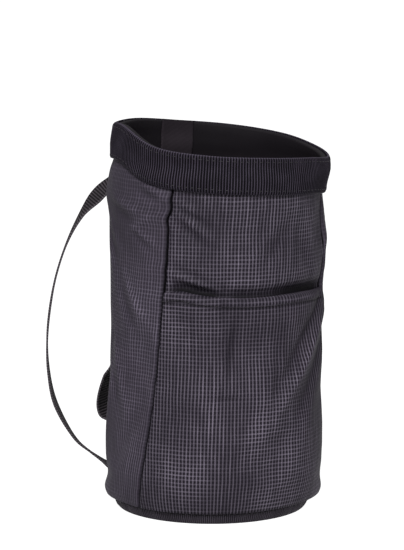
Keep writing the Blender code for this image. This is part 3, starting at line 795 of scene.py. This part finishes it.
def webbing_finish(name, dark, light, pitch, width=0.0, along_u=True, ribs=0.8, yarns=0.25, sharp=0.35):
    """Nylon webbing: ribs across it, shade painted between them, the twisted yarns in each and pale
    selvedges.
    """
    material, tree, shader = finish_tree(name, 0.68, 0.03)
    _, u, v, where = cloth_places(tree)
    along, across = (u, v) if along_u else (v, u)
    # The grooves between the ribs are painted darker: painted shade.
    crown = span(tree, wave(tree, along, pitch), sharp, 0.97)
    yarn = wave(tree, sums(tree, "ADD", across, times(tree, along, 0.55)), 0.00085)
    wear = span(tree, noise(tree, where, 90.0, 3.0), 0.35, 0.75, 0.65, 1.0)
    ribs_and_groove_shade = sums(tree, "MULTIPLY_ADD", crown, ribs, times(tree, yarn, yarns))
    shade = times(tree, ribs_and_groove_shade, wear)
    if width:
        from_middle = sums(tree, "ABSOLUTE", sums(tree, "SUBTRACT", across, width / 2.0))
        selvedge = span(tree, from_middle, width / 2.0 - 0.0006, width / 2.0 - 0.0002)
        loops = sums(tree, "MULTIPLY_ADD", wave(tree, along, pitch), 0.8, 0.25)
        shade = sums(tree, "MAXIMUM", shade, times(tree, selvedge, loops))
    shade = sums(tree, "MINIMUM", shade, 1.0)
    tree.links.new(blend_colours(tree, shade, dark, light), shader.inputs["Base Color"])
    height = sums(tree, "MULTIPLY_ADD", yarn, 0.5, times(tree, crown, 0.5))
    add_bump(tree, shader, height, 0.5, 0.00012)
    return material


def lining_finish(name, dark, light):
    """Smooth close twill, nearly black, a little cloudy."""
    material, tree, shader = finish_tree(name, 0.6, 0.05)
    _, u, v, where = cloth_places(tree)
    twill = wave(tree, sums(tree, "ADD", u, v), 0.00055)
    cloud = noise(tree, where, 30.0, 4.0)
    shade = sums(tree, "MULTIPLY_ADD", twill, 0.35, times(tree, cloud, 0.6), clamp=True)
    tree.links.new(blend_colours(tree, shade, dark, light), shader.inputs["Base Color"])
    height = sums(tree, "MULTIPLY_ADD", twill, 0.3, noise(tree, where, 130.0, 2.0))
    add_bump(tree, shader, height, 0.35, 0.0003)
    return material


def thread_finish(name, colour):
    """Twisted sewing thread."""
    material, tree, shader = finish_tree(name, 0.6, 0.2)
    where = node(tree, "ShaderNodeTexCoord").outputs["Object"]
    shade = span(tree, noise(tree, where, 1400.0, 1.0), 0.3, 0.7)
    low = tuple(part * 0.6 for part in colour)
    tree.links.new(blend_colours(tree, shade, low, colour), shader.inputs["Base Color"])
    return material


SETTLED = np.zeros((SETTLE_ROWS, SETTLE_COLUMNS))
SETTLED = settle_cloth()

RIBS = ribs_tree()
STITCH_ROW = stitch_tree()

FRONT_CLOTH = ripstop("front_ripstop", (0.0074, 0.0060, 0.0090), (0.112, 0.098, 0.126), 0.52, 0.35)
BACK_CLOTH = ripstop("back_ripstop", (0.0170, 0.0142, 0.0200), (0.080, 0.069, 0.092), 0.34, 1.0)
POCKET_CLOTH = ripstop("pocket_ripstop", (0.0074, 0.0060, 0.0090), (0.100, 0.087, 0.112), 0.50, 0.35)
BAND_WEBBING = webbing_finish(
    "rim_webbing", (0.0003, 0.0002, 0.0005), (0.037, 0.031, 0.044), RIB_PITCH, BAND_WIDTH,
    yarns=0.12, sharp=0.55,
)
STRAP_WEBBING = webbing_finish(
    "strap_webbing", (0.0010, 0.0008, 0.0010), (0.052, 0.045, 0.052), STRAP_RIB_PITCH, STRAP_WIDTH
)
TAPE_WEBBING = webbing_finish(
    "tape_webbing", (0.010, 0.008, 0.010), (0.034, 0.028, 0.034), 0.00070,
    along_u=False, ribs=0.5, yarns=0.08,
)
BINDING_WEBBING = webbing_finish(
    "binding_webbing", (0.0045, 0.0038, 0.0052), (0.072, 0.062, 0.079), 0.0012,
    ribs=0.6, yarns=0.2, sharp=0.40,
)
LINING_CLOTH = lining_finish("lining_twill", (0.0022, 0.0018, 0.0023), (0.0090, 0.0075, 0.0096))
TACK_THREAD = thread_finish("tack_thread", (0.040, 0.034, 0.040))
BLACK_THREAD = thread_finish("dark_thread", (0.010, 0.0085, 0.011))


# The shell


def panel_uv(bearing, height, shift=0.0):
    return cloth_map(arc(bearing) + shift, height + shift)


def sunk(distance):
    """How far a panel's edge is drawn down into the seam."""
    return EDGE_SUNK * bell(distance, EDGE_SUNK_WIDTH)


def shade_cloth(piece, bearing, height, beside, reach, folds=0.0):
    """Marks the shade painted into a panel's colour in its seams and folds, and the light and shade painted
    over it.
    """
    mark_layer(piece, "painted_recess_shade", np.maximum(1.0 - fade(beside, reach * 0.4, reach), folds))
    painted_tone = np.zeros(bearing.shape)
    for at, spread, high, rise, painted_lighter in PAINTED_TONES:
        painted_tone += painted_lighter * bell(around(bearing - at), spread) * bell(height * 1000.0 - high, rise)
    painted_tone += CREASE_PAINTED_LIGHT * np.clip(creases(bearing, height) * 1000.0, -CREASE_MOST, CREASE_MOST)
    mark_layer(piece, "painted_tone", painted_tone)


def between_seams(left, right, shares):
    """Bearings of each row of a panel, and how far they are from its nearer edge."""
    wide = (right - left)[:, None]
    return left[:, None] + wide * shares, arc(wide * np.minimum(shares, 1.0 - shares))


def across_front(rows, columns):
    """Bearings of the front panel and the pocket, closer together beside the seams."""
    left, right = seam(rows, -1) + degrees_of(SEAM_GAP), seam(rows, 1) - degrees_of(SEAM_GAP)
    middle = np.linspace(0.02, 0.98, columns)
    shares = np.concatenate([[0.0, 0.004, 0.009, 0.014], middle, [0.986, 0.991, 0.996, 1.0]])
    return shares, *between_seams(left, right, shares)


def front_panel():
    rows = stages((0.0, 0.9, 10), (0.9, 1.2, 44), (1.2, 2.0, 52), (2.0, 3.0, 5))
    _, bearing, beside = across_front(rows, 104)
    height = level(np.broadcast_to(rows[:, None], bearing.shape), bearing)
    radius = wall(bearing, height) - sunk(beside)
    outer = place(bearing, radius, height)
    inner = place(bearing, radius - SHELL_WALL, height)
    piece = crisp(solid("shell_front", outer, inner, panel_uv(bearing, height)))
    # Shade is painted into the cloth just above the pocket's mouth, strongest where the mouth sags most.
    rise = MOUTH_SHADE_RISE * (1.0 + 0.7 * bell(around(bearing) - HIGH_SHADE_BEARING, HIGH_SHADE_SPREAD))
    shade = bell(np.maximum(height - pocket_edge(bearing), 0.0), rise)
    shade = shade * np.minimum(1.3 * mouth_sag(bearing), 1.0)
    shade_cloth(piece, bearing, height, beside, EDGE_SHADE, shade)
    finish_piece(piece, FRONT_CLOTH, "front_panel")


def back_panel():
    rows = stages((0.0, 1.0, 92), (1.0, 2.0, 46), (2.0, 3.0, 5))
    near = np.array([0.0, 0.0012, 0.003, 0.0055, 0.009, 0.0135, 0.019, 0.026, 0.034])
    shares = np.concatenate([near, np.linspace(0.043, 0.957, 176), 1.0 - near[::-1]])
    bearing, beside = between_seams(seam(rows, 1), seam(rows, -1) + 360.0, shares)
    height = level(np.broadcast_to(rows[:, None], bearing.shape), around(bearing))
    band_foot = rim(bearing) - BAND_WIDTH
    roll = SEAM_ROLL * bell(beside, SEAM_ROLL_WIDTH)
    roll = roll * (1.0 - fade(height, band_foot - SEAM_ROLL_FADE, band_foot - GAP))
    inside = wall(bearing, height) - SHELL_WALL
    outer = place(bearing, inside + (SHELL_WALL + roll) * rounded(beside, 0.0018, 0.25), height)
    inner = place(bearing, inside, height)
    piece = crisp(solid("shell_back", outer, inner, cloth_map(shares * arc(BACK_TURN), height)), 70.0)
    shade_cloth(piece, bearing, height, beside, ROLL_SHADE)
    finish_piece(piece, BACK_CLOTH, "back_panel")


def pocket_layer(bearing, height, share):
    """The pocket's inner face, a little open towards its mouth."""
    gape = POCKET_GAPE * curve(MOUTH_GAPE, 2.0 * share - 1.0) * fade(height, POCKET_TOP * 0.80, POCKET_TOP)
    return wall(bearing, height) + GAP + gape


def front_pocket():
    rows = stages((0.0, 0.93, 84), (0.93, 0.975, 20), (0.975, 0.992, 7), (0.992, 1.0, 6))
    shares, bearing, beside = across_front(rows, 116)
    height = level(np.broadcast_to(rows[:, None], bearing.shape), bearing)
    below = pocket_edge(bearing) - height
    inside = pocket_layer(bearing, height, shares) - sunk(beside)
    hem = POCKET_HEM_WALL * (1.0 - fade(below, POCKET_HEM - HEM_LINE, POCKET_HEM))
    dimple = HEM_DIMPLE * bell(below - POCKET_HEM + HEM_LINE, HEM_DIMPLE_WIDTH)
    outer = place(bearing, inside + (POCKET_WALL + hem - dimple) * rounded(below, 0.0008, 0.3), height)
    inner = place(bearing, inside, height)
    piece = crisp(solid("front_pocket", outer, inner, panel_uv(bearing, height, 0.0006)), 70.0)
    # Shade is painted in a narrow band just under the hem.
    shade_cloth(piece, bearing, height, beside, EDGE_SHADE, 0.6 * bell(below - POCKET_HEM - 0.0002, 0.0008))
    finish_piece(piece, POCKET_CLOTH, "pocket")


# The rim


def rim_band():
    columns = round(2.0 * pi * BAG_RADIUS / RIB_PITCH) * RIB_COLUMNS
    bearing = all_round(columns)
    shares = np.array(BAND_ROWS)[:, None]
    height = rim(bearing) - BAND_WIDTH * (1.0 - shares)
    inside = wall(bearing, height) + BAND_EASE
    edge = np.minimum(shares, 1.0 - shares) * BAND_WIDTH
    outer = place(bearing, inside + BAND_WALL * rounded(edge, 0.0009, 0.25), height)
    inner = place(bearing, inside, height)
    u = np.arange(columns + 1) * RIB_PITCH / RIB_COLUMNS
    piece = solid("rim_webbing", outer, inner, cloth_map(u, shares * BAND_WIDTH), ring=True)
    along, rise = np.broadcast_arrays(u[:-1], fade(edge, 0.0006, 0.0016))
    mark_layer(piece, "along", along)
    mark_layer(piece, "rise", rise, 0.0 * rise)
    piece = run_tree(piece, RIBS, Pitch=RIB_PITCH, Height=RIB_HEIGHT, Material=BAND_WEBBING)
    finish_piece(piece, None, "rim_band")


def lining_radius(bearing, height):
    corner = 1.0 - fade(height, 0.0, 2.0 * BINDING_HEIGHT)
    return wall(bearing, height) - SHELL_WALL - LINING_EASE - CORNER_DRAW * corner


def lining():
    bearing = all_round(180)
    floor = BASE_WALL + GAP
    top = rim(bearing) - LIP_DROP
    ladder = np.concatenate([[0.0, 0.012, 0.03, 0.05], np.linspace(0.08, 1.0, 44)])[:, None]
    lip = top - LINING_WALL
    low = floor + BINDING_HEIGHT * 0.1
    height = low + (lip - low) * ladder
    radius = lining_radius(bearing, height)
    rings = np.linspace(0.03, 0.97, 16)[:, None]
    foot = (lining_radius(bearing, low) - FLOOR_DRAW * 0.5) * rings
    lip_out = wall(bearing, top)
    crest = place(bearing, lip_out, top - LINING_WALL * 0.1)
    fold = place(bearing, (lip_out + radius[-1]) / 2.0, top + 0.0001)
    over = [place(bearing, lip_out, lip), place(bearing, lip_out + 0.0003, top - LINING_WALL * 0.5), crest]
    under = [place(bearing, radius[-1] - LINING_WALL * 0.7, top - LINING_WALL * 0.1), fold]
    under.append(crest * 0.5 + fold * 0.5)
    outside = np.concatenate([place(bearing, foot, floor), place(bearing, radius, height), over])
    inner = place(bearing, radius - LINING_WALL, height)
    inside = np.concatenate([place(bearing, foot, floor + LINING_WALL), inner, under])
    rise = np.concatenate([rings[:, 0] * 0.05, 0.05 + ladder[:, 0] * 0.19, [0.241, 0.242, 0.243]])
    uv = cloth_map(arc(np.arange(181) * 2.0), rise[:, None])
    piece = solid("inner_lining", outside, inside, uv, ring=True)
    finish_piece(piece, LINING_CLOTH, "lining")


def back_tape():
    half = degrees_of(TAPE_WIDTH) / 2.0
    bearing = TAPE_BEARING + half * np.linspace(-1.0, 1.0, TAPE_COLUMNS + 1)
    low = BINDING_HEIGHT + 0.012
    height = low + (rim(bearing) + 0.0002 - low) * np.linspace(0.0, 1.0, 90)[:, None]
    inside = lining_radius(bearing, height) - LINING_WALL - GAP
    column = np.arange(TAPE_COLUMNS + 1)
    edge = np.minimum(column, TAPE_COLUMNS - column) * TAPE_WIDTH / TAPE_COLUMNS
    near = place(bearing, inside - TAPE_WALL * rounded(edge, 0.0007, 0.3), height)
    far = place(bearing, inside, height)
    uv = cloth_map(np.linspace(0.0, TAPE_WIDTH, TAPE_COLUMNS + 1), height)
    piece = crisp(solid("seam_tape", near[:, ::-1], far[:, ::-1], uv))
    finish_piece(piece, TAPE_WEBBING, "back_tape")


# The base


def base_radius():
    return BAG_RADIUS * curve(GIRTH, BINDING_HEIGHT / BAG_HEIGHT)


def binding_radius(share):
    """The binding's outside by share of its height, which is drawn in under the bag."""
    drawn_in = BINDING_TUCK * curve(BINDING_PROFILE, share, 2) + BINDING_WALL * curve(BINDING_PROFILE, share)
    return base_radius() - drawn_in


def base_binding():
    bearing = all_round(360)
    share = np.linspace(0.02, 1.0, 15)[:, None]
    angle = np.radians(bearing)
    pucker = 0.00022 * np.sin(angle * 31.0 + 1.3 * np.sin(angle * 5.0)) + 0.00012 * np.sin(angle * 67.0)
    ends = np.clip(np.minimum(share, 1.0 - share) * 6.0, 0.0, 1.0)
    height = BINDING_HEIGHT * share
    outer = place(bearing, binding_radius(share) + pucker * ends, height)
    inside = base_radius() - BINDING_TUCK * curve(BINDING_PROFILE, share, 2) - BINDING_WALL
    inner = place(bearing, inside, height)
    piece = crisp(solid("base_roll", outer, inner, cloth_map(arc(np.arange(361)), height), ring=True), 60.0)
    finish_piece(piece, BINDING_WEBBING, "base_binding")


def base_disc():
    bearing = all_round(120)
    reach = (base_radius() - BINDING_WALL - BINDING_TUCK - GAP) * np.linspace(0.02, 1.0, 14)[:, None]
    under, over = place(bearing, reach, 0.0), place(bearing, reach, BASE_WALL)
    uv = direction(np.arange(121) * 3.0)[None, :, :2] * reach[..., None]
    piece = crisp(solid("base_round", under, over, uv, ring=True))
    finish_piece(piece, BINDING_WEBBING, "base_disc")


# Strap and loop


def back_point(height):
    return place(BACK_LINE, wall(np.float64(BACK_LINE), height) + TAB_EASE, height)


def against_wall(points, hug):
    """Points drawn in to the shell by hug, 0 to 1, and in any case kept outside it."""
    height = points[..., 2]
    spot = points - place(0.0, 0.0, height)
    bearing = np.degrees(np.arctan2(spot[..., 0], -spot[..., 1]))
    reach = np.hypot(spot[..., 0], spot[..., 1])
    least = wall(bearing, height) + TAB_EASE
    return place(bearing, np.maximum(reach + (least - reach) * hug, least), height)


def webbing(name, runs, width, thick, node_name):
    """Ribbed webbing along runs of points, sides and hug, and the CAD node it stands for."""
    points, sides, hug = (np.concatenate(parts) for parts in zip(*runs))
    keep = np.concatenate([[True], np.linalg.norm(np.diff(points, axis=0), axis=1) > 1e-6])
    points, sides, hug = points[keep], sides[keep], hug[keep]
    ahead, behind = np.roll(points, -1, 0), np.roll(points, 1, 0)
    ahead[-1], behind[0] = points[-1], points[0]
    forward = ahead - behind
    forward /= np.linalg.norm(forward, axis=1)[:, None]
    across = sides - forward * np.sum(sides * forward, 1)[:, None]
    across /= np.linalg.norm(across, axis=1)[:, None]
    out = np.cross(forward, across)
    shares = np.array(WEBBING_COLUMNS)
    spread = points[:, None] + across[:, None] * (width * (shares - 0.5))[:, None]
    inner = against_wall(spread, hug[:, None])
    edge = np.minimum(shares, 1.0 - shares) * width
    outer = inner + out[:, None] * (thick * rounded(edge, 0.0007, 0.45))[:, None]
    run = np.concatenate([[0.0], np.cumsum(np.linalg.norm(np.diff(points, axis=0), axis=1))])[:, None]
    piece = solid(name, outer, inner, cloth_map(run, shares * width))
    along, rise = np.broadcast_arrays(run, fade(edge, 0.0004, 0.0014))
    mark_layer(piece, "along", along)
    mark_layer(piece, "rise", rise)
    piece = run_tree(piece, RIBS, Pitch=STRAP_RIB_PITCH, Height=STRAP_RIB_HEIGHT, Material=STRAP_WEBBING)
    finish_piece(piece, None, node_name)


def route(table, leave, join, reach_size, swing_size, hug_until, count):
    """Points, sides and hug of webbing that hangs out between two sewn ends."""
    share = np.linspace(0.0, 1.0, count)
    reach, height, swing, twist = evenly(table, share).T
    ahead = evenly(table, share + 0.5 / 44)
    out = direction(BACK_LINE + swing_size * swing)
    top, foot = back_point(leave), back_point(join)
    points = foot + (top - foot) * height[:, None] + out * (reach_size * reach)[:, None]
    forward = out * ((ahead[:, 0] - reach) * reach_size)[:, None]
    forward[:, 2] -= (height - ahead[:, 1]) * (leave - join)
    forward /= np.maximum(np.linalg.norm(forward, axis=1), 1e-9)[:, None]
    side = direction(BACK_LINE + 90.0 + swing_size * swing)
    turn = -np.radians(twist)[:, None]
    side = side * np.cos(turn) + np.cross(forward, side) * np.sin(turn)
    return points, side, 1.0 - fade(reach, 0.0, hug_until)


def sewn_end(start, end, count):
    side = direction(np.float64(BACK_LINE + 90.0))
    return back_point(np.linspace(start, end, count)), np.tile(side, (count, 1)), np.ones(count)


def strap_ends():
    """The heights of the strap's upper and lower end."""
    return float(rim(np.float64(BACK_LINE))) - BAND_WIDTH - 3.0 * GAP, BINDING_HEIGHT + GAP


def strap():
    high, low = strap_ends()
    leave, join = high - STRAP_TAB, low + STRAP_TAB
    middle = route(STRAP_ROUTE, leave, join, STRAP_REACH, STRAP_SWING, 0.15, 900)
    runs = [sewn_end(high, leave, 20), middle, sewn_end(join, low, 20)]
    webbing("carry_strap", runs, STRAP_WIDTH, STRAP_WALL, "strap")


def brush_loop():
    middle = route(LOOP_ROUTE, LOOP_TOP, LOOP_FOOT, LOOP_REACH, 0.0, 0.5, 190)
    ends = sewn_end(LOOP_TOP + LOOP_TAB, LOOP_TOP, 24), sewn_end(LOOP_FOOT, LOOP_FOOT - LOOP_TAB, 24)
    webbing("brush_webbing", [ends[0], middle, ends[1]], LOOP_WIDTH, LOOP_WALL, "brush_loop")


# Stitching


def band_stitches():
    bearing = np.linspace(-180.0, 180.0, 721)
    paths = []
    for inset in (RIM_STITCH_INSET, BAND_WIDTH - RIM_STITCH_INSET):
        height = rim(bearing) - inset
        radius = wall(bearing, height) + BAND_EASE + BAND_WALL + 0.00018
        paths.append((place(bearing, radius, height), direction(bearing)))
    stitches("rim_stitching", paths, BLACK_THREAD, RIM_STITCH)


def pocket_stitches():
    share = np.linspace(0.012, 0.988, 240)
    left, right = (seam(np.array([0.96]), side)[0] for side in (-1, 1))
    bearing = left + (right - left) * share
    height = pocket_edge(bearing) - POCKET_HEM + HEM_LINE
    radius = pocket_layer(bearing, height, share) + POCKET_WALL + 0.0001
    path = place(bearing, radius, height)
    stitches("hem_stitching", [(path, direction(bearing))], BLACK_THREAD, HEM_STITCH)


def tab_stitches():
    """Bar tacks across the sewn ends of the strap and the loop."""
    side = direction(np.float64(BACK_LINE + 90.0))
    shares = np.linspace(-0.42, 0.42, 24)[:, None]
    top, foot = strap_ends()
    ends = [(top - STRAP_TAB, top, STRAP_WALL), (foot, foot + STRAP_TAB, STRAP_WALL)]
    ends += [(LOOP_TOP, LOOP_TOP + LOOP_TAB, LOOP_WALL), (LOOP_FOOT - LOOP_TAB, LOOP_FOOT, LOOP_WALL)]
    paths = []
    for low, high, thick in ends:
        for share in (0.25, 0.5, 0.75):
            spread = back_point(np.float64(low + (high - low) * share)) + side * STRAP_WIDTH * shares
            face = against_wall(spread, 1.0)
            out = np.broadcast_to(direction(np.float64(BACK_LINE)), face.shape)
            paths.append((face + out * (thick + STRAP_RIB_HEIGHT), out))
    stitches("tab_stitching", paths, TACK_THREAD, TACK_STITCH)


def base_stitches():
    bearing = np.linspace(-180.0, 180.0, 721)
    path = place(bearing, binding_radius(BASE_ROW) + 0.0002, BINDING_HEIGHT * BASE_ROW)
    stitches("base_stitching", [(path, direction(bearing))], BLACK_THREAD, BASE_STITCH)


for make in (
    front_panel, back_panel, front_pocket, rim_band, lining, back_tape, base_binding, base_disc, strap,
    brush_loop, band_stitches, pocket_stitches, base_stitches, tab_stitches,
):
    make()


# Stage: the room's strength by direction, and where it is looked at; the lights by name, place, size and
# power; the floor, which glows so that no shade falls on it

ROOM_SIDES = 0.12
ROOM_FRONT = 0.30
ROOM_CEILING = 1.0
ROOM_SEEN = 1.5
LIGHTS = (
    ("key", (-0.95, -1.5, 1.7), (0.8, 0.8), 95.0),
    ("fill", (1.5, -1.3, 0.7), (0.9, 1.2), 9.0),
)
LIT_POINT = (0.0, 0.0, 0.10)
FLOOR_REACH = 14.0
FLOOR_SHADE = 0.10
FLOOR_GLOW = 1.0


def stage_floor():
    data = bpy.data.meshes.new("floor")
    corners = [(x * FLOOR_REACH, y * FLOOR_REACH, 0.0) for x, y in ((-1, -1), (1, -1), (1, 1), (-1, 1))]
    data.from_pydata(corners, [], [(0, 1, 2, 3)])
    floor = add_object("floor", data)
    material, _, shader = finish_tree("floor_white", 0.9, 0.0)
    shader.inputs["Base Color"].default_value = (FLOOR_SHADE, FLOOR_SHADE, FLOOR_SHADE, 1.0)
    shader.inputs["Emission Color"].default_value = (1.0, 1.0, 1.0, 1.0)
    shader.inputs["Emission Strength"].default_value = FLOOR_GLOW
    data.materials.append(material)


def soft_light(name, place_at, size, power):
    lamp = bpy.data.lights.new(name, "AREA")
    lamp.shape = "RECTANGLE"
    lamp.size, lamp.size_y = size
    lamp.energy = power
    made = add_object(name, lamp)
    made.location = place_at
    made.rotation_euler = (Vector(LIT_POINT) - Vector(place_at)).to_track_quat("-Z", "Y").to_euler()


def white_room():
    """A white room that is brighter overhead than along its walls, and plain white where it is looked at."""
    world = bpy.data.worlds.new("white_room")
    world.use_nodes = True
    tree = world.node_tree
    place_seen = node(tree, "ShaderNodeTexCoord").outputs["Generated"]
    _, forward, up = node(tree, "ShaderNodeSeparateXYZ", [place_seen]).outputs
    ahead = times(tree, forward, -1.0)
    walls = span(tree, ahead, -0.2, 1.0, ROOM_SIDES, ROOM_FRONT)
    higher = span(tree, up, 0.05, 0.80)
    glow = sums(tree, "MULTIPLY_ADD", higher, sums(tree, "SUBTRACT", ROOM_CEILING, walls), walls)
    seen = node(tree, "ShaderNodeLightPath").outputs["Is Camera Ray"]
    shown = sums(tree, "MAXIMUM", glow, times(tree, seen, ROOM_SEEN))
    tree.links.new(shown, tree.nodes["Background"].inputs["Strength"])
    tree.nodes["Background"].inputs["Color"].default_value = (1.0, 1.0, 1.0, 1.0)
    bpy.context.scene.world = world


def camera():
    lens = bpy.data.cameras.new("camera")
    lens.lens = CAMERA_LENS
    lens.sensor_width = 36.0
    made = add_object("camera", lens)
    made.location = CAMERA_PLACE
    made.rotation_euler = (radians(CAMERA_PITCH), 0.0, radians(CAMERA_TURN))
    bpy.context.scene.camera = made


camera()
white_room()
stage_floor()
for light in LIGHTS:
    soft_light(*light)
bpy.context.scene.view_settings.view_transform = "Standard"
